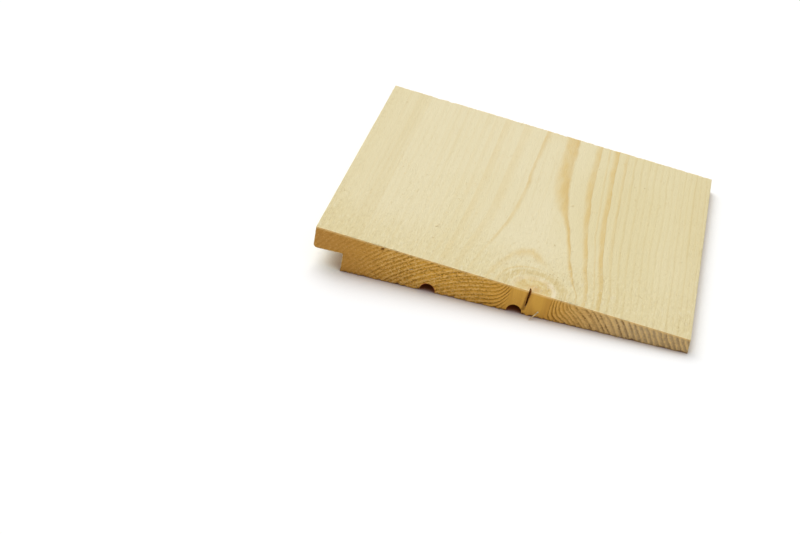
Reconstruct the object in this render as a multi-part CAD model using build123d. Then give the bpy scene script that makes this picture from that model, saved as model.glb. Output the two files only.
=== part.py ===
from build123d import *
import os

# Rebated feather-edge cladding board: a short length of rough sawn spruce stock.
#
# One stick of wood, in one piece. It tapers from a thick edge to a thin edge, a rebate is
# cut into its back along the thick edge, and two relief grooves run along the back. On a
# wall the rebate laps over the thin edge of the board below, so its depth follows that edge.
#
# Frame, in millimetres: X runs across the width, from the thick edge (-X) to the thin edge
# (+X). Y runs along the length, with the grain. Z points out of the rough sawn face. The
# origin is the middle of the back, and the back lies at Z = 0.

# Overall sizes
board_width = 195.0
board_length = 200.0
thick_edge = 22.0
thin_edge = 8.2

# Rebate along the thick edge, which laps over the next board
rebate_width = 15.5
lap_clearance = 0.9  # between the rebate and the next board's sawn face
shoulder_gap = 2.0  # between the shoulder and the next board's thin edge
lip_toe_radius = 2.0  # rounding under the lip

# Relief grooves along the back, counted from the shoulder of the rebate
groove_count = 2
groove_width = 8.0
groove_depth = 4.5
first_groove_offset = 45.5
groove_pitch = 45.0

# Places that follow from the sizes
thick_side = -board_width / 2
thin_side = board_width / 2
shoulder = thick_side + rebate_width
taper = (thick_edge - thin_edge) / board_width
lap_width = rebate_width - shoulder_gap
rebate_depth = thin_edge + taper * lap_width + lap_clearance


def tapered_outline():
    """The section's outer line: the sawn face on top, the lip and the rebate on the left."""
    lip_toe = (thick_side, rebate_depth)
    outline = Polygon(
        (thick_side, thick_edge),
        lip_toe,
        (shoulder, rebate_depth),
        (shoulder, 0),
        (thin_side, 0),
        (thin_side, thin_edge),
        align=None,
    )
    toe_corner = outline.vertices().sort_by_distance(lip_toe)[0]
    return fillet(toe_corner, lip_toe_radius)


def relief_groove(centre):
    """What one round-nosed cutter takes out of the back: its nose, and the mouth below it."""
    nose_radius = groove_width / 2
    mouth = Rectangle(groove_width, groove_depth, align=(Align.CENTER, Align.MAX))
    return Pos(centre, groove_depth - nose_radius) * (Circle(nose_radius) + mouth)


def section():
    """The whole section of the board, drawn with X across the width and Y up."""
    profile = tapered_outline()
    for number in range(groove_count):
        profile -= relief_groove(shoulder + first_groove_offset + number * groove_pitch)
    return profile


def board():
    """The section run out to the board's length, half of it each way from the origin."""
    return extrude(Plane.XZ * section(), board_length / 2, both=True)


os.makedirs("parts", exist_ok=True)
export_step(board(), "parts/board.step")
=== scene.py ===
from math import pi, radians

import bmesh
import bpy
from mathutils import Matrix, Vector


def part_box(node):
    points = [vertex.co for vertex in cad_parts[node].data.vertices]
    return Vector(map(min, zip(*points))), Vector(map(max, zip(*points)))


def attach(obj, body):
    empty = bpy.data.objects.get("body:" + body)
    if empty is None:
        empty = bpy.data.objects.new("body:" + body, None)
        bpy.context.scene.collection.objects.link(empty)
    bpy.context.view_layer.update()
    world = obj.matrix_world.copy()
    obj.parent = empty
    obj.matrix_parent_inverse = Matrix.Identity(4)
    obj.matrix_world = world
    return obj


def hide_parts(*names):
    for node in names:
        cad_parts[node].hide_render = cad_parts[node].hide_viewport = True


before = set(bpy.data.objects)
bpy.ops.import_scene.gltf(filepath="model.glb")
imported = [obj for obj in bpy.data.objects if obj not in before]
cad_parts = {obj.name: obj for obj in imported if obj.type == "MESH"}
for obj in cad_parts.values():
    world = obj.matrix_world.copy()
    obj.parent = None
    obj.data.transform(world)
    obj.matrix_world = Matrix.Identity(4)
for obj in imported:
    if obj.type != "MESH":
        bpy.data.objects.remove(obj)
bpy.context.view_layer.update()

scene = bpy.context.scene
low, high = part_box("board")  # metres; the back lies on the floor and the sawn face is on top
print("frame loaded, board", [round(1000 * (b - a), 1) for a, b in zip(low, high)], "mm")

boardShape = {
    "thinEdge": 0.0082,
    "rebateWidth": 0.0155,
    "rebateDepth": 0.010055,
    "lipRounding": 0.002,
    "lipSegments": 5,
    "grooveWidth": 0.008,
    "grooveDepth": 0.0045,
    "grooveSides": 28,
    "grooveMiddles": (-0.0365, 0.0085),
    "faceColumns": 0.0006,  # how far apart the mesh's rows and columns lie
    "backColumns": 0.0018,
    "rowPitch": 0.0016,
    "endRows": (0.00025, 0.0006, 0.0010, 0.0016, 0.0024, 0.0034),
    "capRows": (0.0003, 0.0008),
    "capPitch": 0.0007,
    "sideHems": (0.0002, 0.0004),
}
size = high - low
middle = (low + high) / 2
taper = (size.z - boardShape["thinEdge"]) / size.x
faceNormal = Vector((taper, 0, 1)).normalized()
shoulder = low.x + boardShape["rebateWidth"]
sideAt, endAt, topAt = 1000 * high.x, 1000 * high.y, 1000 * high.z  # in millimetres, as the patterns use


# Node wiring that the materials and the relief share

class Wire:
    # a socket of a node tree that sums can be written with
    def __init__(self, tree, socket):
        self.tree = tree
        self.socket = socket

    def calc(self, operation, *others):
        return calc(self.tree, operation, self, *others)

    def __add__(self, other):
        return self.calc("ADD", other)

    def __sub__(self, other):
        return self.calc("SUBTRACT", other)

    def __rsub__(self, other):
        return calc(self.tree, "SUBTRACT", other, self)

    def __mul__(self, other):
        return self.calc("MULTIPLY", other)

    def __truediv__(self, other):
        return self.calc("DIVIDE", other)

    def __pow__(self, other):
        return self.calc("POWER", other)

    __radd__ = __add__
    __rmul__ = __mul__

    def rise(self, start, end):  # 0 before start, 1 after end, smooth between them
        node = self.tree.nodes.new("ShaderNodeMapRange")
        node.interpolation_type = "SMOOTHSTEP"
        for socket, value in zip(node.inputs, (self, start, end, 0.0, 1.0)):
            feed(self.tree, socket, value)
        return Wire(self.tree, node.outputs[0])

    def fall(self, start, end):  # 1 before start, 0 after end
        return 1.0 - self.rise(start, end)

    def hump(self, start, full, fade, end):  # 0 before start, 1 from full to fade, 0 after end
        return self.rise(start, full) * self.fall(fade, end)

    def size(self):  # how far it is from 0, either way
        return self.calc("ABSOLUTE")


def feed(tree, socket, value):
    if isinstance(value, Wire):
        tree.links.new(value.socket, socket)
    else:
        socket.default_value = value


def calc(tree, operation, *values):
    node = tree.nodes.new("ShaderNodeMath")
    node.operation = operation
    for socket, value in zip(node.inputs, values):
        feed(tree, socket, value)
    return Wire(tree, node.outputs[0])


def split(vector):
    node = vector.tree.nodes.new("ShaderNodeSeparateXYZ")
    feed(vector.tree, node.inputs[0], vector)
    return [Wire(vector.tree, socket) for socket in node.outputs]


def combine(tree, x, y, z):
    node = tree.nodes.new("ShaderNodeCombineXYZ")
    for socket, value in zip(node.inputs, (x, y, z)):
        feed(tree, socket, value)
    return Wire(tree, node.outputs[0])


def vectorCalc(vector, operation, other):
    node = vector.tree.nodes.new("ShaderNodeVectorMath")
    node.operation = operation
    feed(vector.tree, node.inputs[0], vector)
    feed(vector.tree, node.inputs[1], other)
    return Wire(vector.tree, node.outputs[0])


def scaleVector(vector, factor):
    node = vector.tree.nodes.new("ShaderNodeVectorMath")
    node.operation = "SCALE"
    feed(vector.tree, node.inputs[0], vector)
    feed(vector.tree, node.inputs["Scale"], factor)
    return Wire(vector.tree, node.outputs[0])


def distance(across, along):
    return (across * across + along * along).calc("SQRT")


seedStep = (171.3, 53.9, 97.1)  # how far apart two seeds lie in the noise, in millimetres


def noise(place, size, seed=0, detail=2.0, roughness=0.5):
    # 0 to 1; size is how wide its lumps are along x, y and z in millimetres
    shifted = vectorCalc(place, "ADD", tuple(seed * step for step in seedStep))
    scaled = vectorCalc(shifted, "MULTIPLY", tuple(1 / s for s in size))
    node = place.tree.nodes.new("ShaderNodeTexNoise")
    feed(place.tree, node.inputs["Vector"], scaled)
    node.inputs["Scale"].default_value = 1.0
    node.inputs["Detail"].default_value = detail
    node.inputs["Roughness"].default_value = roughness
    return Wire(place.tree, node.outputs[0])


def blend(factor, first, second):
    # mixes two colours, each a wire or a colour
    node = factor.tree.nodes.new("ShaderNodeMix")
    node.data_type = "RGBA"
    feed(factor.tree, node.inputs[0], factor)
    feed(factor.tree, node.inputs[6], first)
    feed(factor.tree, node.inputs[7], second)
    return Wire(factor.tree, node.outputs[2])


def dye(red, green, blue):
    # a colour as a paint chart gives it, 0 to 255, turned to the linear values that nodes take
    linear = [c / 12.92 if c < 0.04045 else ((c + 0.055) / 1.055) ** 2.4
              for c in (red / 255, green / 255, blue / 255)]
    return (*linear, 1.0)


# The trunk that the board was sawn from: growth rings, and one branch that makes the knot

trunk = {
    "pith": (1.4, -70.3),  # x and z of the trunk's middle line, well below the board's back
    "pithLean": -0.004,  # how far that line moves across for each millimetre along
    "faceRadius": 85.0,  # from the middle line to the sawn face
    "taper": 0.0019,
    "waves": ((30, 110, 30), 3, 1.0),  # the size, seed and detail of the rings' long waves
    "waver": 3.0,  # how far those move the rings across
    "ripples": ((7, 30, 7), 5, 2.0),
    "ripple": (1.1, 0.4),  # how far the short ones move them across and up
    "swell": 4.1,  # how far the rings bulge out where the branch leaves the trunk
    "swellMiddle": (17.6, -101.3),
    "swellLean": 0.10,  # how far its middle moves across for each millimetre along
    "swellReach": (74.0, 43.7, 51.0),  # to the left, to the right and along
    "swellTurn": (-12, 12),  # where the left reach gives way to the right one
    "swellPower": 1.6,
    "bulge": 0.62,  # a slight bulge on the right of the crest, between the knot and the far end
    "bulgeMiddle": (23.0, -32.0),
    "bulgeReach": (10.0, 34.0),
    "firstRing": -2,
    "ringDepths": (-3.1, -1.8, 0.88, 3.8, 5.6, 7.4, 9.7, 11.9, 14.1),  # their ends, from the face out
    "innerRing": 2.15,
    "outerRing": 2.15,
    "depthRange": (-36.0, 60.0),
    "steeper": 0.5,  # how much steeper the rings stand towards the thin edge
    "steeperFrom": (30, 60),
}
branch = {
    "middle": (16.0, -97.0, 15.0),  # where its middle line meets the sawn face
    "lean": (0.14, 0.05),  # how far that line leans across and along for each millimetre up
    "radius": 11.0,
    "length": 1.17,  # the knot is this much longer along the board than across it
    "sides": (-9, 9),  # where its left side gives way to its right one
    "collarDepth": (-12.0, -14.0),  # where the rings meet it, on its left and on its right
    "collarSlope": (1.5, 1.6),
    "collarDip": 0.65,  # how much deeper they meet its left side for each millimetre down
    "dipFrom": 16.0,
    "collarBlend": 9.5,
    "ringWidth": 2.7,
}


def ringCalendar(depth):
    # counts the rings: a whole number at each ring's outer, dark end
    start, end = trunk["depthRange"]
    ends = list(trunk["ringDepths"])
    count = trunk["firstRing"]
    while ends[0] > start:
        ends.insert(0, ends[0] - trunk["innerRing"])
        count -= 1
    while ends[-1] < end:
        ends.append(ends[-1] + trunk["outerRing"])
    node = depth.tree.nodes.new("ShaderNodeFloatCurve")
    points = node.mapping.curves[0].points
    for number, ringEnd in enumerate(ends):
        across = (ringEnd - ends[0]) / (ends[-1] - ends[0])
        up = number / (len(ends) - 1)
        if 0 < number < len(ends) - 1:
            points.new(across, up)
    for point in points:
        point.handle_type = "VECTOR"
    node.mapping.update()
    feed(depth.tree, node.inputs["Value"], (depth - ends[0]) / (ends[-1] - ends[0]))
    return Wire(depth.tree, node.outputs[0]) * (len(ends) - 1) + count


def underFace(x, z):
    # how far a place lies below the sawn face
    return (x + sideAt) * -taper + topAt - z


def growth(place):
    # the ring number at a place in millimetres, and how far that is from the branch's middle line
    wave = noise(place, *trunk["waves"]) - 0.5
    ripple = noise(place, *trunk["ripples"]) - 0.5
    rippleAcross, rippleUp = trunk["ripple"]
    x, y, z = split(place)
    deep = underFace(x, z)
    x = x + wave * trunk["waver"] + ripple * rippleAcross
    z = z + deep * x.rise(*trunk["steeperFrom"]) * trunk["steeper"] + ripple * rippleUp

    pithX, pithZ = trunk["pith"]
    radius = distance(x - (y * trunk["pithLean"] + pithX), z - pithZ)
    depth = radius - trunk["faceRadius"] + y * trunk["taper"]

    left, right, along = trunk["swellReach"]
    beyond = y - trunk["swellMiddle"][1]
    fromSwell = x - trunk["swellMiddle"][0] - beyond * trunk["swellLean"]
    reach = fromSwell.rise(*trunk["swellTurn"]) * (right - left) + left
    swellFar = distance(fromSwell / reach, beyond / along) ** trunk["swellPower"]
    swell = calc(place.tree, "EXPONENT", swellFar * -1.0) * trunk["swell"]
    bulgeAcross = (x - trunk["bulgeMiddle"][0]) / trunk["bulgeReach"][0]
    bulgeAlong = (y - trunk["bulgeMiddle"][1]) / trunk["bulgeReach"][1]
    bulgeFar = bulgeAcross * bulgeAcross + bulgeAlong * bulgeAlong
    swell = swell + calc(place.tree, "EXPONENT", bulgeFar * -1.0) * trunk["bulge"]

    middleX, middleY, middleZ = branch["middle"]
    leanAcross, leanAlong = branch["lean"]
    sideways = x - ((z - middleZ) * leanAcross + middleX)
    lengthways = y - ((z - middleZ) * leanAlong + middleY)
    fromBranch = distance(sideways, lengthways / branch["length"])

    rightSide = sideways.rise(*branch["sides"])
    leftSlope, rightSlope = branch["collarSlope"]
    leftDepth, rightDepth = branch["collarDepth"]
    slope = rightSide * (rightSlope - leftSlope) + leftSlope
    dip = (branch["dipFrom"] - z) * (1.0 - rightSide) * branch["collarDip"]
    collar = (fromBranch - branch["radius"]) * slope + rightSide * (rightDepth - leftDepth) + leftDepth - dip
    joined = (depth - swell).calc("SMOOTH_MIN", collar, branch["collarBlend"])
    return ringCalendar(joined), fromBranch


def millimetres(tree, kind):
    # the place of a point in millimetres, in a material or in geometry nodes
    if kind == "material":
        metres = Wire(tree, tree.nodes.new("ShaderNodeTexCoord").outputs["Object"])
    else:
        metres = Wire(tree, tree.nodes.new("GeometryNodeInputPosition").outputs[0])
    return vectorCalc(metres, "MULTIPLY", (1000.0, 1000.0, 1000.0))


# Materials

woodTones = {
    "sapwood": dye(236, 224, 185),
    "sapwoodWarm": dye(229, 215, 167),
    "sapwoodEdge": dye(229, 214, 166),
    "streak": dye(222, 204, 152),
    "ringLine": dye(222, 191, 119),
    "ringLineRight": dye(212, 190, 126),
    "ringEdge": dye(206, 162, 86),
    "shadeFleck": dye(196, 172, 116),
    "lightFleck": dye(252, 244, 214),
    "tear": dye(168, 140, 86),
    # a painted highlight along the arrises at the ends of the sawn face
    "arrisHighlight": dye(255, 232, 178),
    # painted shade inside the grooves, warm as light off the wood
    "grooveShade": dye(206, 90, 22),
    # a painted contact shadow along the foot of each end
    "footShade": dye(150, 100, 46),
    "knotRim": dye(246, 233, 202),
    "knotHalo": dye(212, 186, 120),
    "knotWood": dye(230, 209, 150),
    "knotDark": dye(210, 176, 104),
    "knotCore": dye(222, 174, 112),
    "endDeep": dye(200, 145, 68),
    "endWarm": dye(238, 178, 70),
    "endGrey": dye(222, 192, 142),
    "endLine": dye(140, 88, 30),
    "endLineGrey": dye(136, 100, 58),
    # a painted highlight along the top arris of the ends
    "endPale": dye(252, 212, 136),
    "endRimHighlight": dye(254, 214, 140),
    "knotEnd": dye(231, 178, 80),
    "knotEndDark": dye(204, 148, 66),
    # painted shade along the split and in the pin hole
    "split": dye(116, 68, 14),
    # painted shade on the split's inner walls
    "splitShade": dye(168, 100, 20),
    "fibre": dye(247, 234, 196),
    "fibreDark": dye(222, 198, 142),
}
# for the rings that stand out on the sawn face: how strong each is, and the share of it that is dark
ringLooks = {
    -3: (0.25, 0.5), -2: (0.62, 0.54), -1: (0.66, 0.56),
    0: (0.80, 0.31), 1: (0.72, 0.47), 2: (0.24, 0.36),
    3: (0.78, 0.86), 4: (0.42, 0.46), 5: (0.34, 0.42),
}
faintRing = {"strength": (0.12, 0.34), "share": 0.38}  # the others, each a little different


def startMaterial(name):
    material = bpy.data.materials.new(name)
    material.use_nodes = True
    tree = material.node_tree
    shader = tree.nodes["Principled BSDF"]
    return material, tree, shader


def ringLot(tree, ringEnd):
    # 0 to 1, drawn by lot for each ring
    white = tree.nodes.new("ShaderNodeTexWhiteNoise")
    white.noise_dimensions = "1D"
    feed(tree, white.inputs["W"], ringEnd)
    return Wire(tree, white.outputs["Value"])


def ringLook(tree, ringEnd):
    # how strong a ring is and what share of it is dark, read from a ramp with one step for each ring
    node = tree.nodes.new("ShaderNodeValToRGB")
    ramp = node.color_ramp
    ramp.interpolation = "CONSTANT"
    numbers = sorted(ringLooks)
    span = numbers[-1] - numbers[0] + 2
    ramp.elements[0].position = 0.0
    ramp.elements[1].position = 1.0 - 0.5 / span
    for element in ramp.elements:
        element.color = (0, faintRing["share"], 0, 1)
    for number in numbers:
        element = ramp.elements.new((number - numbers[0] + 0.5) / span)
        element.color = (*ringLooks[number], 0, 1)
    feed(tree, node.inputs[0], (ringEnd - numbers[0] + 1.0) / span)
    strength, share = split(Wire(tree, node.outputs[0]))[:2]
    weakest, strongest = faintRing["strength"]
    faint = ringLot(tree, ringEnd) * (strongest - weakest) + weakest
    return strength.calc("MAXIMUM", faint), share


# how rough each kind of wood is, how much it shines, and how deep its bump goes, in metres
finishes = {
    "sawn": (0.80, 0.25, 0.00034),
    "planed": (0.60, 0.25, 0.00012),
    "end": (0.88, 0.12, 0.00045),
    "fibre": (0.75, 0.25, 0.00003),
}


def finishShader(tree, shader, kind, colour, height):
    roughness, shine, depth = finishes[kind]
    feed(tree, shader.inputs["Base Color"], colour)
    shader.inputs["Roughness"].default_value = roughness
    shader.inputs["Specular IOR Level"].default_value = shine
    node = tree.nodes.new("ShaderNodeBump")
    node.inputs["Distance"].default_value = depth
    node.inputs["Strength"].default_value = 1.0
    feed(tree, node.inputs["Height"], height)
    tree.links.new(node.outputs[0], shader.inputs["Normal"])


# The faces that run with the grain: the sawn face, and the planed back and edges

# where a look sets in or fades, in millimetres across the board
faceX = {
    "leftEdge": (-97, -76),
    "leftFuzz": (-97, -84),
    "leftStreak": (-84, -81, -77, -73),
    "yellowBand": -24,
    "leftRings": (-9, 4),
    "leftArcs": (-6, 5),
    "thinCrest": (-3, 7),
    "warmSide": (4, 42),
    "knotRim": (6, 18),
    "crestBand": (8, 12, 21, 26),
    "rightArcs": (12, 21),
    "tears": (19, 23, 33, 39),  # deeper tears right of the knot
    "paleLines": (44, 56),
    "wideRings": (44, 66),
    "rightRings": (48, 60),
    "rightStreak": (84, 97),
    "rightFuzz": (86, 97),
}
# the same along the board; the front end is at -100
faceY = {
    "frontEnd": (-102, -40),
    "torn": (-95, -10),
    "besideKnot": (-72, -48),
    "tears": (-62, -48),
    "thinCrest": (-40, 40),
    "crestBand": (-12, 4),
    "yellowBand": (10, 60),
}
yellowFade = (4, 26)  # millimetres from the middle of the yellow band
# the same from the middle of the knot, but its edge is given from its radius
faceKnot = {
    "core": (0.5, 5.5),
    "rim": (7.8, 10.4),
    "edge": (-0.2, 1.6),
    "waver": 2.6,
    "halo": (12.0, 14.2, 15.6, 19.0),
    "clearRings": (14, 28),
    "torn": (16, 48),
}
# and from the end of the board, or up from its back
# the arris strip holds a painted highlight; the broken strip and its rise up from the back hold painted shade
# at the foot of each end
endStrips = {"arrisHighlight": (0.3, 1.3), "broken": (0.7, 1.6), "footShadeUp": (1.2, 2.4), "inGroove": (0.1, 0.9)}
# how strong each look is
faceMix = {
    "warmSide": 0.74, "yellowBand": 0.35, "tone": 0.25, "leftEdge": 0.5, "frontEnd": 0.80,
    "streaks": 0.30, "leftStreak": 0.25, "rightStreak": 0.25,
    "firmSide": 0.26, "halo": 0.55,
    "knot": 0.90, "knotCloud": 0.6, "knotLines": 0.14, "knotCore": 0.50, "knotRim": 0.80,
    "shade": 0.55, "light": 0.60, "flecks": 0.32, "tears": 0.45, "arrisHighlight": 0.65,
    "grooveShade": 0.88, "splitShade": 0.94, "footShade": 0.8,
}
# how much the rings fade: on the left of the knot, near the right edge, and where they are arcs behind it
ringFade = {
    "left": 0.72, "leftPlaned": 0.25, "crest": 0.6, "right": 0.12,
    "leftArcs": 0.80, "rightArcs": 0.88,
}
clearRings = 0.36  # but they never fade to less than this near the knot
# patterns: how wide their lumps are along x, y and z in millimetres, seed, detail and roughness
facePatterns = {
    "tone": ((26, 80, 26), 21, 1.0),
    "streaks": ((2.2, 260, 2.2), 25, 2.0, 0.6),
    "patchyRings": ((6, 26, 6), 11, 2.0),
    "knotEdge": ((4, 5, 6), 15, 1.0),
    "knotRim": ((5, 6, 6), 17, 1.0),
    "knotCloud": ((4, 4, 6), 13, 2.0),
    "grain": ((0.45, 13, 0.45), 31, 3.0, 0.6),
    "fuzz": ((0.55, 1.1, 0.55), 33, 3.0, 0.65),
    "grit": ((2.1, 4.6, 2.1), 35, 2.0, 0.55),
    "strands": ((0.8, 5.5, 0.8), 37, 2.0, 0.7),
    "tears": ((1.3, 3.6, 1.3), 38, 2.0, 0.6),
}
splitInside = {  # the split's inner wall, tinted with painted shade as if no light came in
    "middle": 14.4,
    "halfWidth": (3.0, 3.6),
    "bottom": (4.5, 4.9),
    "reach": (-96.6, -96.2),
}
grooveSide = (0.05, 0.3)  # past a groove's half width, where its tint ends


def clearWood(place):
    # the wood between the rings: palest in the middle and on the left
    x, y = split(place)[:2]
    tone = noise(place, *facePatterns["tone"]).rise(0.35, 0.65)
    yellow = (x - faceX["yellowBand"]).size().fall(*yellowFade) * y.fall(*faceY["yellowBand"])
    warmth = x.rise(*faceX["warmSide"]) * faceMix["warmSide"] + yellow * faceMix["yellowBand"]
    warmth = (warmth + (tone - 0.5) * faceMix["tone"]).calc("MAXIMUM", 0.0)
    colour = blend(warmth, woodTones["sapwood"], woodTones["sapwoodWarm"])
    edges = x.fall(*faceX["leftEdge"]) * faceMix["leftEdge"]
    edges = edges + y.fall(*faceY["frontEnd"]) * faceMix["frontEnd"]
    colour = blend(edges.calc("MINIMUM", 1.0), colour, woodTones["sapwoodEdge"])
    streaks = noise(place, *facePatterns["streaks"]).rise(0.5, 0.78) * faceMix["streaks"]
    streaks = streaks + x.hump(*faceX["leftStreak"]) * faceMix["leftStreak"]
    streaks = streaks + x.rise(*faceX["rightStreak"]) * faceMix["rightStreak"]
    return blend(streaks, colour, woodTones["streak"])


def ringLines(place, rings, fromBranch, planed):
    # the dark part of each ring, its firm outer side alone, and how patchy both are
    x, y = split(place)[:2]
    through, ringEnd = rings.calc("FRACT"), rings.calc("CEIL")
    strength, share = ringLook(place.tree, ringEnd)
    left = x.fall(*faceX["leftRings"])
    besideKnot = y.fall(*faceY["besideKnot"])
    arcs = ringEnd.fall(-0.9, -0.1)  # the arcs behind the knot, which have no firm side
    crest = ringEnd.size().fall(0.2, 0.8)  # the ring that crosses the face as one long arch

    thin = crest * x.fall(*faceX["thinCrest"]) * (y.rise(*faceY["thinCrest"]) * 0.30 + 0.25)
    share = share * (1.0 - thin) + y.rise(*faceY["crestBand"]) * x.hump(*faceX["crestBand"]) * 0.07
    share = share + x.rise(*faceX["wideRings"]) * 0.08 + left * (1.0 - crest) * 0.22
    soft = through.rise(1.0 - share, 1.0 - share * 0.42)
    outer = through.fall(0.90 - arcs * 0.12 + thin * 0.10, 1.0)
    firm = through.rise(0.80, 0.93) * outer * (1.0 - arcs) * (1.0 - left)

    leftFade = left * (1.0 - besideKnot * arcs * 0.6) * (1.0 - crest * 0.4)
    leftFade = leftFade * ringFade["leftPlaned" if planed else "left"]
    crestFade = crest * left * besideKnot * ringFade["crest"]
    rightFade = x.rise(*faceX["rightRings"]) * ringFade["right"]
    arcFade = x.fall(*faceX["leftArcs"]) * (ringFade["leftArcs"] - besideKnot * 0.5)
    arcFade = arcs * (arcFade + x.rise(*faceX["rightArcs"]) * ringFade["rightArcs"])
    strength = strength * (1.0 - leftFade) * (1.0 - rightFade) * (1.0 - crestFade) * (1.0 - arcFade)
    strength = strength.calc("MAXIMUM", fromBranch.fall(*faceKnot["clearRings"]) * clearRings)
    patchy = noise(place, *facePatterns["patchyRings"]).rise(0.30, 0.64) * 0.45 + 0.55
    return soft * outer * strength * patchy, firm * strength * patchy, patchy


def knotFace(place, colour, fromBranch, patchy):
    # the knot: a faint halo and a pale rim round narrow rings of its own
    x = split(place)[0]
    knotFar = fromBranch + (noise(place, *facePatterns["knotEdge"]) - 0.5) * faceKnot["waver"]
    halo = knotFar.hump(*faceKnot["halo"]) * patchy
    colour = blend(halo * faceMix["halo"], colour, woodTones["knotHalo"])
    lines = (knotFar / branch["ringWidth"]).calc("FRACT").hump(0.3, 0.9, 0.92, 1.0)
    inKnot = knotFar.fall(*[branch["radius"] + past for past in faceKnot["edge"]])
    rimPatch = noise(place, *facePatterns["knotRim"]).rise(0.32, 0.60) * 0.55 + 0.45
    rim = knotFar.rise(*faceKnot["rim"]) * rimPatch * (x.rise(*faceX["knotRim"]) * 0.5 + 0.5)
    core = fromBranch.fall(*faceKnot["core"])
    cloud = noise(place, *facePatterns["knotCloud"]).rise(0.35, 0.65)
    darker = cloud * faceMix["knotCloud"] + lines * faceMix["knotLines"]
    knotColour = blend(darker, woodTones["knotWood"], woodTones["knotDark"])
    knotColour = blend(core * faceMix["knotCore"], knotColour, woodTones["knotCore"])
    knotColour = blend(rim * faceMix["knotRim"], knotColour, woodTones["knotRim"])
    return blend(inKnot * faceMix["knot"], colour, knotColour), inKnot


def planedHollows(place, colour):
    # painted shade, darker and warmer than the planed wood: in the grooves, on the split's inner wall and
    # along the broken feet of the ends
    x, y, z = split(place)
    halfWidth = 500 * boardShape["grooveWidth"]
    fromGrooves = [(x - 1000 * grooveMiddle).size() for grooveMiddle in boardShape["grooveMiddles"]]
    start, end = [halfWidth + past for past in grooveSide]
    inGroove = sum(fromMiddle.fall(start, end) for fromMiddle in fromGrooves)
    inGroove = inGroove * z.rise(*endStrips["inGroove"])
    # painted shade inside the grooves
    colour = blend(inGroove * faceMix["grooveShade"], colour, woodTones["grooveShade"])
    inSplit = (x - splitInside["middle"]).size().fall(*splitInside["halfWidth"])
    inSplit = inSplit * z.rise(*splitInside["bottom"]) * y.fall(*splitInside["reach"])
    # painted shade on the split's inner wall
    colour = blend(inSplit * faceMix["splitShade"], colour, woodTones["splitShade"])
    # a painted contact shadow along the foot of each end, on the back and the edges
    broken = (endAt - y.size()).fall(*endStrips["broken"]) * z.fall(*endStrips["footShadeUp"])
    return blend(broken * faceMix["footShade"], colour, woodTones["footShade"])


def longGrain(name, planed):
    material, tree, shader = startMaterial(name)
    place = millimetres(tree, "material")
    x, y = split(place)[:2]
    rings, fromBranch = growth(place)
    line, firmLine, patchy = ringLines(place, rings, fromBranch, planed)
    lineColour = blend(x.rise(*faceX["paleLines"]), woodTones["ringLine"], woodTones["ringLineRight"])
    colour = blend(line, clearWood(place), lineColour)
    colour = blend(firmLine * faceMix["firmSide"], colour, woodTones["ringEdge"])
    colour, inKnot = knotFace(place, colour, fromBranch, patchy)

    # fuzz and flecks, strongest round the knot and towards the front end, where the saw tore the wood: the
    # wood's own speckle, partly painted highlights and painted shade of raised fibres
    grain = noise(place, *facePatterns["grain"])
    fuzz = noise(place, *facePatterns["fuzz"])
    grit = noise(place, *facePatterns["grit"])
    torn = y.fall(*faceY["torn"]) * 0.60 + fromBranch.fall(*faceKnot["torn"]) * 0.25
    if planed:
        shade = (grain - 0.5) * 0.42 + (fuzz - 0.5) * 0.10
    else:
        coarse = torn * 1.3 + x.fall(*faceX["leftFuzz"]) + x.rise(*faceX["rightFuzz"]) * 0.8 + 0.35
        strands = noise(place, *facePatterns["strands"])
        shade = (grain - 0.5) * 0.18 + ((fuzz - 0.5) * 0.20 + (grit - 0.5) * 0.40) * coarse
        shade = shade + (strands - 0.5) * torn * (1.0 - inKnot * 0.5)
    # dark and pale flecks, partly painted shade and painted highlights of raised fibres
    colour = blend((shade * -1.0).rise(0.0, 0.30) * faceMix["shade"], colour, woodTones["shadeFleck"])
    colour = blend(shade.rise(0.0, 0.30) * faceMix["light"], colour, woodTones["lightFleck"])
    if planed:
        colour = planedHollows(place, colour)
        finishShader(tree, shader, "planed", colour, grain * 0.5 + line * 0.3)
    else:
        fleckShare = (torn * 0.9 + 0.10) * faceMix["flecks"]
        tears = noise(place, *facePatterns["tears"]).rise(0.62, 0.72)
        tears = tears * x.hump(*faceX["tears"]) * y.fall(*faceY["tears"])
        # the grit's flecks, partly painted shade and painted highlights of torn fibres
        colour = blend(grit.rise(0.58, 0.72) * fleckShare, colour, woodTones["shadeFleck"])
        colour = blend(grit.fall(0.28, 0.40) * fleckShare, colour, woodTones["lightFleck"])
        colour = blend(tears * faceMix["tears"], colour, woodTones["tear"])
        # a painted highlight along the sawn face's arris at each end
        arrisHighlight = (endAt - y.size()).fall(*endStrips["arrisHighlight"])
        colour = blend(arrisHighlight * faceMix["arrisHighlight"], colour, woodTones["arrisHighlight"])
        height = grain * 0.5 + line * 0.3 + fuzz + grit * 1.2 * (torn + 0.5)
        finishShader(tree, shader, "sawn", colour, height)
    return material


# The sawn ends, which show the rings as lines and take in more light

pinHole = {  # a small pit near the top of the front end
    "x": -62.2,
    "z": 17.9,
    "radius": (0.35, 1.15),
    "reach": (-99, -95),
}
# where a look sets in or fades, in millimetres across the board
endX = {
    "deepEnd": (-94, -30),
    "calmLeft": (-80, -50),
    "grey": (18, 76),
    "knotRight": (21, 25),
    "faintRings": (58, 80),
    "greyer": (60, 88),
}
# the same from the middle of the knot, but its edge is given from its radius
endKnot = {"edge": (-1.2, 0.6), "flowing": (13, 30)}
# rim is a painted highlight along the top of the end, foot a painted contact shadow along its bottom
endEdges = {"rim": (0.4, 1.5), "foot": (0.0, 1.0)}  # from the top and from the foot of the end
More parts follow.
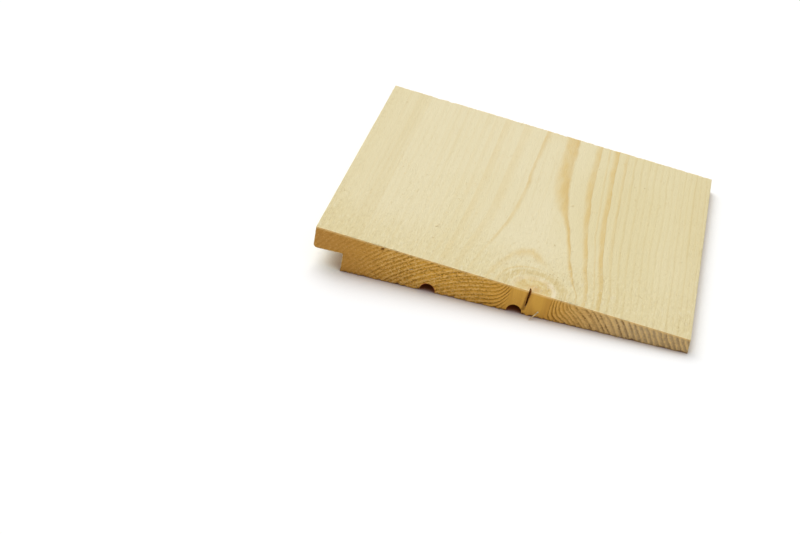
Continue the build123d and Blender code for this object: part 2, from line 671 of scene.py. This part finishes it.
# how strong each look is
endMix = {
    "pale": 0.50, "paleRight": 0.15, "firmRight": 0.30, "firmKnot": 0.34, "faintRings": 0.55,
    "greyer": 0.20, "mottle": 0.16, "knot": 0.95, "knotBands": 0.50, "knotHairs": 0.40, "knotRight": 0.6,
    "ragged": 0.42, "shadowBelowSplit": 0.66, "splitShadow": 0.62, "splitShade": 0.94,
    "pits": 0.50, "hollows": 0.26, "crumbs": 0.85, "pinHole": 0.8, "rim": 0.9, "foot": 0.6,
}
endPatterns = {
    "jitter": ((0.9, 0.9, 0.9), 49, 3.0, 0.65),
    "patch": ((5, 5, 4), 41, 3.0),
    "mottle": ((9, 9, 7), 42, 3.0, 0.6),
    "dashes": ((1.5, 1.5, 0.8), 46, 2.0, 0.6),
    "knotBands": ((2.6, 40, 24), 43, 2.0, 0.6),
    "knotHairs": ((0.7, 30, 14), 44, 2.0),
    "speck": ((0.85, 0.85, 0.75), 45, 3.0, 0.7),
    "tear": ((1.7, 1.7, 1.2), 47, 2.0, 0.6),
}
splitMark = {  # the painted shade along the split and below its foot, in millimetres
    "foot": (12.7, 2.5),  # x and z
    "lean": 0.177,  # how far it leans across for each millimetre up
    "waver": 0.8,
    "shadowBelowWidth": (0.25, 1.5),
    "shadowBelowUp": (1.8, 3.2, 5.5, 13.0),
    "splitShadowWidth": (0.55, 1.5),
    "splitShadowUp": (4.5, 7.0),
    "front": (-99, -90),
    "inside": (-98.6, -97.8, -96.0, -95.0),
}


def inPinHole(place):
    x, y, z = split(place)
    fromMiddle = distance(x - pinHole["x"], z - pinHole["z"])
    return fromMiddle.fall(*pinHole["radius"]) * y.fall(*pinHole["reach"])


def knotEnd(place, colour, inKnot, jitter):
    # the knot, cut along its grain, with the split down its middle and painted shade along and inside it
    x, y, z = split(place)
    bands = noise(place, *endPatterns["knotBands"]).rise(0.42, 0.64)
    hairs = noise(place, *endPatterns["knotHairs"])
    darker = bands * endMix["knotBands"] + (hairs - 0.5) * endMix["knotHairs"]
    knotColour = blend(darker, woodTones["knotEnd"], woodTones["knotEndDark"])
    knotColour = blend(x.rise(*endX["knotRight"]) * endMix["knotRight"], knotColour, woodTones["knotEndDark"])
    colour = blend(inKnot * endMix["knot"], colour, knotColour)
    footAt, footUp = splitMark["foot"]
    fromSplit = x - (z - footUp) * splitMark["lean"] - footAt
    fromSplit = (fromSplit + (jitter - 0.5) * splitMark["waver"]).size()
    front = y.fall(*splitMark["front"])
    # painted shade along the split and below its foot
    shadowBelowSplit = fromSplit.fall(*splitMark["shadowBelowWidth"]) * z.hump(*splitMark["shadowBelowUp"]) * front
    splitShadow = fromSplit.fall(*splitMark["splitShadowWidth"]) * z.rise(*splitMark["splitShadowUp"]) * front
    marked = (shadowBelowSplit * endMix["shadowBelowSplit"]).calc("MAXIMUM", splitShadow * endMix["splitShadow"])
    colour = blend(marked, colour, woodTones["split"])
    # painted shade on the split's back wall
    return blend(y.hump(*splitMark["inside"]) * endMix["splitShade"], colour, woodTones["splitShade"])


def endGrain(name):
    material, tree, shader = startMaterial(name)
    place = millimetres(tree, "material")
    x, z = split(place)[::2]
    rings, fromBranch = growth(place)
    jitter = noise(place, *endPatterns["jitter"])
    ragged = rings + (jitter - 0.5) * endMix["ragged"]
    through = ragged.calc("FRACT")
    uneven = ringLot(tree, ragged.calc("CEIL")) * 0.75 + 0.55
    inKnot = fromBranch.fall(*[branch["radius"] + past for past in endKnot["edge"]])
    coarse = 1.0 - inKnot.calc("MAXIMUM", x.fall(*endX["calmLeft"]) * 0.85)
    flowing = fromBranch.fall(*endKnot["flowing"])  # clean, firm rings where they sweep round the knot
    toGrey = x.rise(*endX["grey"])

    # the wood, then the pale and the dark part of each ring
    body = blend(x.rise(*endX["deepEnd"]), woodTones["endDeep"], woodTones["endWarm"])
    body = blend(toGrey, body, woodTones["endGrey"])
    body = blend(x.rise(*endX["greyer"]) * endMix["greyer"], body, woodTones["endLineGrey"])
    mottle = noise(place, *endPatterns["mottle"]).rise(0.45, 0.75)
    body = blend(mottle * endMix["mottle"] + flowing * 0.05, body, woodTones["endLine"])
    line = blend(toGrey, woodTones["endLine"], woodTones["endLineGrey"])
    late = through.hump(0.52, 0.86, 0.93, 1.0)
    early = through.hump(0.02, 0.14, 0.30, 0.55)
    patch = noise(place, *endPatterns["patch"]).rise(0.32, 0.70)
    dashes = noise(place, *endPatterns["dashes"]).rise(0.38, 0.58)
    paleness = coarse * (endMix["pale"] - dashes * 0.25) * (1.0 - flowing * 0.4)
    paleness = paleness + toGrey * endMix["paleRight"]
    firmness = (patch * 0.55 + 0.10) * (dashes * 0.55 + 0.60)
    firmness = firmness + toGrey * endMix["firmRight"] + flowing * endMix["firmKnot"]
    firmness = firmness * (1.0 - x.rise(*endX["faintRings"]) * endMix["faintRings"])
    firmness = firmness * uneven * (coarse * 0.85 + 0.15)
    colour = blend(early * paleness, body, woodTones["endPale"])
    colour = blend((late * firmness).calc("MINIMUM", 1.0), colour, line)
    colour = knotEnd(place, colour, inKnot, jitter)

    # pits, crumbs and torn fibres; then a painted highlight along the top of the end, painted shade in the
    # pin hole and a painted contact shadow along the foot
    speck = noise(place, *endPatterns["speck"])
    tear = noise(place, *endPatterns["tear"])
    rough = (coarse * 0.85 + 0.15) * (1.0 - toGrey * 0.5) * (1.0 - flowing * 0.7)
    pits = speck.rise(0.54, 0.72) * rough
    crumbs = speck.fall(0.34, 0.47) * rough
    hollows = tear.rise(0.58, 0.74) * rough
    rim = underFace(x, z).fall(*endEdges["rim"]) * (jitter.rise(0.3, 0.6) * 0.4 + 0.6)
    foot = z.fall(*endEdges["foot"]) * jitter.rise(0.4, 0.6)
    colour = blend(pits * endMix["pits"], colour, line)
    colour = blend(hollows * endMix["hollows"], colour, line)
    colour = blend(crumbs * endMix["crumbs"], colour, woodTones["endPale"])
    # painted shade in the pin hole
    colour = blend(inPinHole(place) * endMix["pinHole"], colour, woodTones["split"])
    # a painted highlight along the top arris of the end
    colour = blend(rim * endMix["rim"], colour, woodTones["endRimHighlight"])
    # a painted contact shadow along the foot of the end
    colour = blend(foot * endMix["foot"], colour, line)
    height = (1.0 - pits) * 0.7 + (1.0 - hollows) * 0.8 + late * coarse * 0.5
    finishShader(tree, shader, "end", colour, height)
    return material


fibrePatterns = {
    "tone": ((1.5, 4, 1.5), 61, 2.0),
    "hairs": ((0.2, 1.5, 0.2), 63, 1.0),
}


def fibreWood(name):
    # torn fibres, some paler than others
    material, tree, shader = startMaterial(name)
    place = millimetres(tree, "material")
    tone = noise(place, *fibrePatterns["tone"]).rise(0.35, 0.65)
    colour = blend(tone, woodTones["fibre"], woodTones["fibreDark"])
    finishShader(tree, shader, "fibre", colour, noise(place, *fibrePatterns["hairs"]))
    return material


sawnWood = longGrain("spruceSawnFace", planed=False)
planedWood = longGrain("sprucePlanedFace", planed=True)
endWood = endGrain("spruceEndGrain")
tornWood = fibreWood("spruceFibres")
print("materials made:", sawnWood.name, planedWood.name, endWood.name, tornWood.name)


# The board

def deselectAll():
    bpy.ops.object.select_all(action="DESELECT")


def activate(piece):
    deselectAll()
    piece.select_set(True)
    bpy.context.view_layer.objects.active = piece


def pick(piece, kind, test):
    # in edit mode, selects the vertices, edges or faces whose middle and direction pass the test
    mesh = bmesh.from_edit_mesh(piece.data)
    bpy.ops.mesh.select_mode(type=kind)
    bpy.ops.mesh.select_all(action="DESELECT")
    if kind == "VERT":
        chosen = [v for v in mesh.verts if test(v.co, v.normal)]
    elif kind == "EDGE":
        chosen = [e for e in mesh.edges
                  if test((e.verts[0].co + e.verts[1].co) / 2, (e.verts[1].co - e.verts[0].co).normalized())]
    else:
        chosen = [f for f in mesh.faces if test(f.calc_center_median(), f.normal)]
    for item in chosen:
        item.select_set(True)
    bmesh.update_edit_mesh(piece.data)
    return len(chosen)


def slices(piece, test, direction, places):
    # cuts the picked faces with a row of planes, and leaves the others whole
    pick(piece, "FACE", test)
    bpy.ops.mesh.hide(unselected=True)
    for place in places:
        bpy.ops.mesh.select_all(action="SELECT")
        bpy.ops.mesh.bisect(plane_co=place, plane_no=direction, threshold=0.000001)
    bpy.ops.mesh.reveal(select=False)


def cutAway(piece, cutter):
    activate(piece)
    boolean = piece.modifiers.new("cut", "BOOLEAN")
    boolean.operation = "DIFFERENCE"
    boolean.solver = "EXACT"
    boolean.object = cutter
    bpy.ops.object.modifier_apply(modifier=boolean.name)
    bpy.data.objects.remove(cutter)


deselectAll()
bpy.ops.mesh.primitive_cube_add(size=1, location=middle, scale=size)
board = bpy.context.object
board.name = "sawnBoard"
bpy.ops.object.transform_apply(location=True, rotation=True, scale=True)
bpy.ops.object.mode_set(mode="EDIT")
pick(board, "VERT", lambda co, no: co.x > 0 and co.z > middle.z)
bpy.ops.transform.translate(value=(0, 0, boardShape["thinEdge"] - size.z))  # the taper
bpy.ops.object.mode_set(mode="OBJECT")

hair = 0.0001  # a tenth of a millimetre, to pick by place
cutterLength = 0.3  # longer than the board
cutterBlock = (0.03, cutterLength, 0.03)
deselectAll()
bpy.ops.mesh.primitive_cube_add(size=1, scale=cutterBlock, location=(
    shoulder - cutterBlock[0] / 2, 0, boardShape["rebateDepth"] - cutterBlock[2] / 2))
cutAway(board, bpy.context.object)
bpy.ops.object.mode_set(mode="EDIT")
pick(board, "EDGE", lambda co, along: abs(along.y) > 0.9 and co.x < low.x + hair
     and co.z < boardShape["rebateDepth"] + 10 * hair)
bpy.ops.mesh.bevel(offset=boardShape["lipRounding"], segments=boardShape["lipSegments"], affect="EDGES")
bpy.ops.object.mode_set(mode="OBJECT")

nose = boardShape["grooveWidth"] / 2
crown = boardShape["grooveDepth"] - nose
for grooveMiddle in boardShape["grooveMiddles"]:
    deselectAll()
    bpy.ops.mesh.primitive_cylinder_add(vertices=boardShape["grooveSides"], radius=nose, depth=cutterLength,
                                        rotation=(pi / 2, 0, 0), location=(grooveMiddle, 0, crown))
    cutter = bpy.context.object
    bpy.ops.object.transform_apply(location=True, rotation=True, scale=True)
    bpy.ops.object.mode_set(mode="EDIT")
    pick(cutter, "VERT", lambda co, no: co.z < crown - hair)
    bpy.ops.transform.translate(value=(0, 0, -nose))  # open at the back
    bpy.ops.object.mode_set(mode="OBJECT")
    cutAway(board, cutter)
print("board shaped:", len(board.data.polygons), "faces")

# the split that runs down the knot, open at the front end and on the sawn face
knotSplit = {
    "top": (0.0153, 0.0160),  # x and z of its upper end
    "foot": (0.0133, 0.0050),
    "reach": 0.0030,  # how far it goes into the board
    "widths": (0.0021, 0.0012),  # at the top and at the foot
    "innerWidth": 0.25,  # as a share of those, where it ends inside the board
    "bends": 11,
    "waver": 0.00024,
    "seed": 7,
}
deselectAll()
(topX, topZ), (footX, footZ) = knotSplit["top"], knotSplit["foot"]
topWidth, footWidth = knotSplit["widths"]
bpy.ops.mesh.primitive_cube_add(size=1, location=(footX, low.y, (topZ + footZ) / 2),
                                scale=(footWidth, 2 * knotSplit["reach"], topZ - footZ))
crack = bpy.context.object
crack.name = "knotSplit"
bpy.ops.object.transform_apply(location=True, rotation=True, scale=True)
bpy.ops.object.mode_set(mode="EDIT")
pick(crack, "VERT", lambda co, no: co.z > topZ - hair)
bpy.ops.transform.resize(value=(topWidth / footWidth, 1, 1), center_override=(footX, 0, 0))
bpy.ops.transform.translate(value=(topX - footX, 0, 0))
pick(crack, "EDGE", lambda co, along: abs(along.z) > 0.9)
bpy.ops.mesh.subdivide(number_cuts=knotSplit["bends"])
pick(crack, "VERT", lambda co, no: co.y > low.y)
bpy.ops.transform.resize(value=(knotSplit["innerWidth"], 1, 1), center_override=((topX + footX) / 2, 0, 0))
bpy.ops.mesh.select_all(action="SELECT")
bpy.ops.transform.vertex_random(offset=knotSplit["waver"], seed=knotSplit["seed"])
bpy.ops.object.mode_set(mode="OBJECT")
cutAway(board, crack)


def onFace(co, no):  # the sawn face
    return no.dot(faceNormal) > 0.99


def onEnd(co, no):
    return abs(no.y) > 0.99


def onSide(co, no):
    return abs(no.x) > 0.999


activate(board)
bpy.ops.object.mode_set(mode="EDIT")
# the board's faces are cut into rows and columns, finest on the sawn face and at the ends
columns = int(size.x / boardShape["faceColumns"])
everyNth = round(boardShape["backColumns"] / boardShape["faceColumns"])
allColumns = [Vector((low.x + boardShape["faceColumns"] * n, 0, 0)) for n in range(1, columns)]
hems = [Vector((side * (high.x - inset), 0, 0)) for side in (-1, 1) for inset in boardShape["sideHems"]]
coarse = [place for n, place in enumerate(allColumns) if n % everyNth == 0]
fine = [place for n, place in enumerate(allColumns) if n % everyNth]
slices(board, lambda co, no: not onSide(co, no), (1, 0, 0), coarse)
slices(board, lambda co, no: onFace(co, no) or onEnd(co, no), (1, 0, 0), fine + hems)
print("columns cut:", len(board.data.polygons))

ends = boardShape["endRows"]
rows = list(ends)
while rows[-1] + boardShape["rowPitch"] < size.y - ends[-1]:
    rows.append(rows[-1] + boardShape["rowPitch"])
rows += [size.y - e for e in reversed(ends)]
slices(board, lambda co, no: not onEnd(co, no), (0, 1, 0), [Vector((0, low.y + r, 0)) for r in rows])

depths = list(boardShape["capRows"])
while depths[-1] < size.z:
    depths.append(depths[-1] + boardShape["capPitch"])
topEdge = Vector((low.x, 0, high.z))
slices(board, lambda co, no: onEnd(co, no) or onSide(co, no), faceNormal,
       [topEdge - faceNormal * d for d in depths])
bpy.ops.object.mode_set(mode="OBJECT")
triangles = sum(len(p.vertices) - 2 for p in board.data.polygons)
print("board cut for relief:", len(board.data.polygons), "faces,", triangles, "triangles")

woods = [sawnWood, planedWood, endWood]
for wood in woods:
    board.data.materials.append(wood)
for face in board.data.polygons:
    if onEnd(face.center, face.normal):
        face.material_index = woods.index(endWood)
    elif not onFace(face.center, face.normal):
        face.material_index = woods.index(planedWood)


# Relief, cut into the surface and never raised above it

relief = {  # depths in millimetres
    "saw": 0.16,
    "sawWaves": 0.10,
    "endTear": 0.35,
    "endRings": 0.18,
    "pinHole": 0.8,
    "topChips": 1.3,
    "backChips": 1.5,
    "sideChips": 0.45,
    "chipSlope": 0.0005,  # how far a chip takes the surface in, each way, in metres for each millimetre
    "endShift": 40.0,  # these keep the chips of one end, side or arris unlike those of another
    "sideShift": 30.0,
    "backShift": 9.0,
}
reliefPatterns = {
    "grain": ((1.1, 14, 1.1), 51, 3.0, 0.6),
    "lumps": ((2.2, 3.0, 2.2), 53, 2.0),
    "sawWaves": ((60, 3.2, 60), 55, 1.0),
    "endTear": ((1.4, 1.4, 1.1), 57, 3.0, 0.6),
    "sideChips": ((9, 5, 9), 58, 3.0, 0.6),
    "topChips": ((2.6, 9, 9), 59, 3.0, 0.65),
    "backChips": ((2.0, 9, 9), 60, 3.0, 0.7),
}


def startGeometryTree(name):
    tree = bpy.data.node_groups.new(name, "GeometryNodeTree")
    tree.interface.new_socket("Geometry", in_out="INPUT", socket_type="NodeSocketGeometry")
    tree.interface.new_socket("Geometry", in_out="OUTPUT", socket_type="NodeSocketGeometry")
    return tree, tree.nodes.new("NodeGroupInput"), tree.nodes.new("NodeGroupOutput")


def chipDepth(place, name, start, end, fromOneSide, fromOther):
    # in millimetres: how deep an arris is broken at a place, less how far that is from its two sides
    broken = noise(place, *reliefPatterns[name]).rise(start, end) * relief[name]
    return (broken - fromOneSide - fromOther).calc("MAXIMUM", 0.0)


def makeRelief():
    tree, start, finish = startGeometryTree("sawRelief")
    place = millimetres(tree, "geometry")
    x, y, z = split(place)
    normal = Wire(tree, tree.nodes.new("GeometryNodeInputNormal").outputs[0])
    alongNormal, upNormal = split(normal)[1:]
    rings, fromBranch = growth(place)
    late = rings.calc("FRACT").hump(0.5, 0.95, 0.96, 1.0)
    inKnot = fromBranch.fall(branch["radius"] - 1, branch["radius"] + 1)

    grain = noise(place, *reliefPatterns["grain"])
    lumps = noise(place, *reliefPatterns["lumps"])
    waves = noise(place, *reliefPatterns["sawWaves"])
    tears = noise(place, *reliefPatterns["endTear"])
    faceCut = (grain * 0.55 + lumps * 0.45) * relief["saw"] + waves * relief["sawWaves"]
    endCut = tears * relief["endTear"] * (1.0 - inKnot * 0.7)
    endCut = endCut + (1.0 - late) * (1.0 - inKnot) * relief["endRings"]
    endCut = endCut + inPinHole(place) * relief["pinHole"]
    faceCut = faceCut * upNormal.rise(0.3, 0.8)
    inward = (faceCut + endCut * alongNormal.size().rise(0.3, 0.8)) * -0.001
    cut = scaleVector(normal, inward)

    # chips broken out along the arrises
    fromEnd = endAt - y.size()
    fromSide = sideAt - x.size()
    fromFace = underFace(x, z)
    whichEnd, whichSide = y.calc("SIGN"), x.calc("SIGN")
    atTop = combine(tree, x, whichEnd * relief["endShift"], 0.0)
    atBack = combine(tree, x, whichEnd * relief["endShift"], relief["backShift"])
    atSide = combine(tree, whichSide * relief["sideShift"], y, 0.0)
    topChip = chipDepth(atTop, "topChips", 0.35, 0.80, fromEnd, fromFace)
    backChip = chipDepth(atBack, "backChips", 0.38, 0.72, fromEnd, z)
    sideChip = chipDepth(atSide, "sideChips", 0.35, 0.75, fromSide, fromFace)
    chipAcross = sideChip * whichSide * -relief["chipSlope"]
    chipAlong = (backChip + topChip) * whichEnd * -relief["chipSlope"]
    chipUp = (backChip - topChip - sideChip) * relief["chipSlope"]
    chip = combine(tree, chipAcross, chipAlong, chipUp)

    move = tree.nodes.new("GeometryNodeSetPosition")
    tree.links.new(start.outputs[0], move.inputs["Geometry"])
    feed(tree, move.inputs["Offset"], vectorCalc(cut, "ADD", chip))
    tree.links.new(move.outputs[0], finish.inputs[0])
    return tree


sharpAngle = radians(42)  # edges sharper than this stay sharp
activate(board)
board.modifiers.new("relief", "NODES").node_group = makeRelief()
bpy.ops.object.modifier_apply(modifier="relief")
bpy.ops.object.shade_smooth_by_angle(angle=sharpAngle)
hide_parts("board")
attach(board, "root")
print("relief applied")


# Raised fibres: fuzz on the sawn face and torn ends along the arrises

fuzz = {
    "name": "faceFuzz",
    "needle": (0.00006, 0.0026),  # radius and length
    "shortest": 0.3,  # as a share of that length
    "thickness": (0.6, 1.4),
    "askew": 0.5,
    "raised": (0.05, 0.40),
    "face": 90000,  # how many for each square metre
    "ends": 9000,
    "backArris": 500000,
    "faceArris": 250000,
    "seed": 12,
}
splinters = {
    "name": "arrisSplinters",
    "needle": (0.00016, 0.0042),
    "shortest": 0.25,
    "thickness": (0.4, 1.2),
    "askew": 1.3,
    "raised": (0.0, 0.55),
    "face": 900,
    "ends": 1500,
    "backArris": 330000,
    "faceArris": 26000,
    "seed": 31,
}
fibres = {
    "sides": 4,
    "tip": 0.2,  # its radius there, as a share of the root's
    "ahead": 0.42,  # how far its middle lies ahead of its root, as a share of its length
    "patches": ((10, 12, 12), 65, 2.0),  # size, seed and detail of the pattern that they grow in
    "edgeStrip": (0.2, 1.0),  # millimetres from an arris, where its fibres get fewer
    "backStrip": (0.2, 0.9),
    "sideStrip": (1.3, 0.2),
    "standOff": 0.0012,  # how far one may stand off an end, in metres
    "overFloor": 0.00003,
}


def randomValue(tree, lowest, highest, seed):
    node = tree.nodes.new("FunctionNodeRandomValue")
    node.data_type = "FLOAT"
    values = [socket for socket in node.inputs if socket.enabled]
    values[0].default_value = lowest
    values[1].default_value = highest
    node.inputs["Seed"].default_value = seed
    return Wire(tree, [socket for socket in node.outputs if socket.enabled][0])


def fibreDensity(tree, kind):
    # how many fibres of a kind grow at a place, for each square metre
    place = millimetres(tree, "geometry")
    x, y, z = split(place)
    normal = Wire(tree, tree.nodes.new("GeometryNodeInputNormal").outputs[0])
    alongNormal, upNormal = split(normal)[1:]
    nearEnd = (endAt - y.size()).fall(*fibres["edgeStrip"])
    nearFace = underFace(x, z).fall(*fibres["edgeStrip"])
    nearBack = z.fall(*fibres["backStrip"])
    sides = x.size().rise(*[sideAt - inset for inset in fibres["sideStrip"]])
    onTop = upNormal.rise(0.9, 0.97)
    onEnds = alongNormal.size().rise(0.8, 0.95)
    clumps = noise(place, *fibres["patches"]).rise(0.38, 0.66) * 0.9 + 0.1
    density = onTop * clumps * kind["face"] + onEnds * kind["ends"]
    density = density + nearEnd * nearBack * clumps * kind["backArris"]
    return density + (nearEnd + sides * 0.5) * nearFace * clumps * kind["faceArris"]


def scatterTree(wood, kind):
    tree, start, finish = startGeometryTree(kind["name"] + "Scatter")
    wooden = tree.nodes.new("GeometryNodeObjectInfo")
    wooden.inputs["Object"].default_value = wood
    scatter = tree.nodes.new("GeometryNodeDistributePointsOnFaces")
    scatter.distribute_method = "RANDOM"
    tree.links.new(wooden.outputs["Geometry"], scatter.inputs["Mesh"])
    feed(tree, scatter.inputs["Density"], fibreDensity(tree, kind))
    scatter.inputs["Seed"].default_value = kind["seed"]

    # each fibre lies along the grain, a little askew and a little raised
    outward = Wire(tree, scatter.outputs["Normal"])
    sideways = randomValue(tree, -kind["askew"], kind["askew"], 1)
    forwards = randomValue(tree, -1.0, 1.0, 2).calc("SIGN")
    lying = combine(tree, sideways, forwards, 0.0)
    lift = scaleVector(outward, randomValue(tree, *kind["raised"], 3))
    aim = tree.nodes.new("FunctionNodeAlignRotationToVector")
    aim.axis = "Z"
    feed(tree, aim.inputs["Vector"], vectorCalc(lying, "ADD", lift))
    thick = randomValue(tree, *kind["thickness"], 5)
    long = randomValue(tree, kind["shortest"], 1.0, 6)
    copies = tree.nodes.new("GeometryNodeInstanceOnPoints")
    tree.links.new(scatter.outputs["Points"], copies.inputs["Points"])
    tree.links.new(start.outputs[0], copies.inputs["Instance"])
    tree.links.new(aim.outputs[0], copies.inputs["Rotation"])
    feed(tree, copies.inputs["Scale"], combine(tree, thick, thick, long))
    real = tree.nodes.new("GeometryNodeRealizeInstances")
    tree.links.new(copies.outputs[0], real.inputs[0])

    # none goes through the floor, rises above the thick edge or stands far off an end
    x, y, z = split(Wire(tree, tree.nodes.new("GeometryNodeInputPosition").outputs[0]))
    farthest = high.y + fibres["standOff"]
    y = y.calc("MAXIMUM", -farthest).calc("MINIMUM", farthest)
    z = z.calc("MAXIMUM", fibres["overFloor"]).calc("MINIMUM", high.z)
    clear = tree.nodes.new("GeometryNodeSetPosition")
    tree.links.new(real.outputs[0], clear.inputs["Geometry"])
    feed(tree, clear.inputs["Position"], combine(tree, x, y, z))
    tree.links.new(clear.outputs[0], finish.inputs[0])
    return tree


def raiseFibres(kind):
    deselectAll()
    radius, length = kind["needle"]
    bpy.ops.mesh.primitive_cone_add(vertices=fibres["sides"], radius1=radius, radius2=radius * fibres["tip"],
                                    depth=length, location=(0, 0, length * fibres["ahead"]))
    piece = bpy.context.object
    piece.name = kind["name"]
    bpy.ops.object.transform_apply(location=True, rotation=True, scale=True)
    piece.data.materials.append(tornWood)
    piece.modifiers.new("scatter", "NODES").node_group = scatterTree(board, kind)
    bpy.ops.object.modifier_apply(modifier="scatter")
    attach(piece, "root")
    print(kind["name"], "raised:", len(piece.data.polygons), "faces")


raiseFibres(fuzz)
raiseFibres(splinters)


# one larger sliver, torn off the foot of the front end beside the split
footSliver = {
    "thickEnd": Vector((0.0206, low.y + 0.0003, 0.0034)),
    "thinEnd": Vector((0.0170, low.y - 0.0046, 0.0004)),
    "radius": 0.00048,
    "thinRadius": 0.00010,
    "sides": 5,
    "bends": 5,
    "waver": 0.00008,
    "seed": 0,
    "sharpAngle": radians(35),
}
sliverLine = footSliver["thinEnd"] - footSliver["thickEnd"]
deselectAll()
bpy.ops.mesh.primitive_cone_add(vertices=footSliver["sides"], radius1=footSliver["radius"],
                                radius2=footSliver["thinRadius"], depth=sliverLine.length,
                                location=(footSliver["thickEnd"] + footSliver["thinEnd"]) / 2,
                                rotation=sliverLine.to_track_quat("Z", "Y").to_euler())
sliver = bpy.context.object
sliver.name = "footSliver"
bpy.ops.object.transform_apply(location=True, rotation=True, scale=True)
bpy.ops.object.mode_set(mode="EDIT")
pick(sliver, "EDGE", lambda co, along: abs(along.dot(sliverLine.normalized())) > 0.9)
bpy.ops.mesh.subdivide(number_cuts=footSliver["bends"])
bpy.ops.mesh.select_all(action="SELECT")
bpy.ops.transform.vertex_random(offset=footSliver["waver"], seed=footSliver["seed"])
bpy.ops.object.mode_set(mode="OBJECT")
sliver.data.materials.append(tornWood)
bpy.ops.object.shade_smooth_by_angle(angle=footSliver["sharpAngle"])
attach(sliver, "root")
print("foot sliver made")


# Floor, light and camera

studio = {
    "floorSize": 14.0,
    "floorGap": 0.00002,
    "floorWhite": (0.94, 0.94, 0.94, 1),
    "floorLift": 0.10,
    "floorShade": (0.34, 0.13, 0.03, 1),  # deep under the board, where only light off the wood comes
    "shadeReach": 0.012,
    "shadeEnds": (0.08, 0.80),  # how open the floor is to the sky where that shade ends
    "sky": 0.58,
    "lamp": 2.1,
    "lampSoftness": radians(55),
    "lampPlace": (-1, 1, 2),
    "lampAngles": (radians(-28), radians(-24), 0.0),
}
deselectAll()
bpy.ops.mesh.primitive_plane_add(size=studio["floorSize"], location=(0, 0, low.z - studio["floorGap"]))
floor = bpy.context.object
floor.name = "floor"
floorMaterial = bpy.data.materials.new("paperFloor")
floorMaterial.use_nodes = True
tree = floorMaterial.node_tree
tree.nodes.clear()
output = tree.nodes.new("ShaderNodeOutputMaterial")
paper = tree.nodes.new("ShaderNodeBsdfDiffuse")
shut = tree.nodes.new("ShaderNodeAmbientOcclusion")
shut.inputs["Distance"].default_value = studio["shadeReach"]
openness = Wire(tree, shut.outputs["AO"]).rise(*studio["shadeEnds"])
feed(tree, paper.inputs["Color"], blend(openness, studio["floorShade"], studio["floorWhite"]))
glow = tree.nodes.new("ShaderNodeEmission")
path = tree.nodes.new("ShaderNodeLightPath")
lift = Wire(tree, path.outputs["Is Camera Ray"]) * openness * studio["floorLift"]
feed(tree, glow.inputs["Strength"], lift)
together = tree.nodes.new("ShaderNodeAddShader")
tree.links.new(paper.outputs[0], together.inputs[0])
tree.links.new(glow.outputs[0], together.inputs[1])
under = tree.nodes.new("ShaderNodeBsdfTransparent")  # seen from below, the floor isn't there
oneSided = tree.nodes.new("ShaderNodeMixShader")
tree.links.new(tree.nodes.new("ShaderNodeNewGeometry").outputs["Backfacing"], oneSided.inputs[0])
tree.links.new(together.outputs[0], oneSided.inputs[1])
tree.links.new(under.outputs[0], oneSided.inputs[2])
tree.links.new(oneSided.outputs[0], output.inputs[0])
floor.data.materials.append(floorMaterial)

world = bpy.data.worlds.new("studio") if scene.world is None else scene.world
scene.world = world
world.use_nodes = True
tree = world.node_tree
tree.nodes.clear()
output = tree.nodes.new("ShaderNodeOutputWorld")
sky = tree.nodes.new("ShaderNodeBackground")
path = tree.nodes.new("ShaderNodeLightPath")
# white wherever it is seen, directly, mirrored or through glass, and less bright as a light
seen = Wire(tree, path.outputs["Is Camera Ray"]).calc("MAXIMUM", Wire(tree, path.outputs["Is Glossy Ray"]))
seen = seen.calc("MAXIMUM", Wire(tree, path.outputs["Is Transmission Ray"]))
feed(tree, sky.inputs["Strength"], seen * (1.0 - studio["sky"]) + studio["sky"])
tree.links.new(sky.outputs[0], output.inputs[0])

deselectAll()
bpy.ops.object.light_add(type="SUN", location=studio["lampPlace"], rotation=studio["lampAngles"])
lamp = bpy.context.object
lamp.name = "softLamp"
lamp.data.energy = studio["lamp"]
lamp.data.angle = studio["lampSoftness"]

shot = {
    "place": (0.04562, -0.92528, 0.45520),
    "turn": (radians(61.463), radians(-8.945), radians(11.580)),
    "lens": 84.18,
    "sensor": 36.0,
}
bpy.ops.object.camera_add(location=shot["place"], rotation=shot["turn"])
camera = bpy.context.object
camera.name = "shotCamera"
camera.data.lens = shot["lens"]
camera.data.sensor_width = shot["sensor"]
scene.camera = camera
scene.view_settings.view_transform = "Standard"
print("studio set")
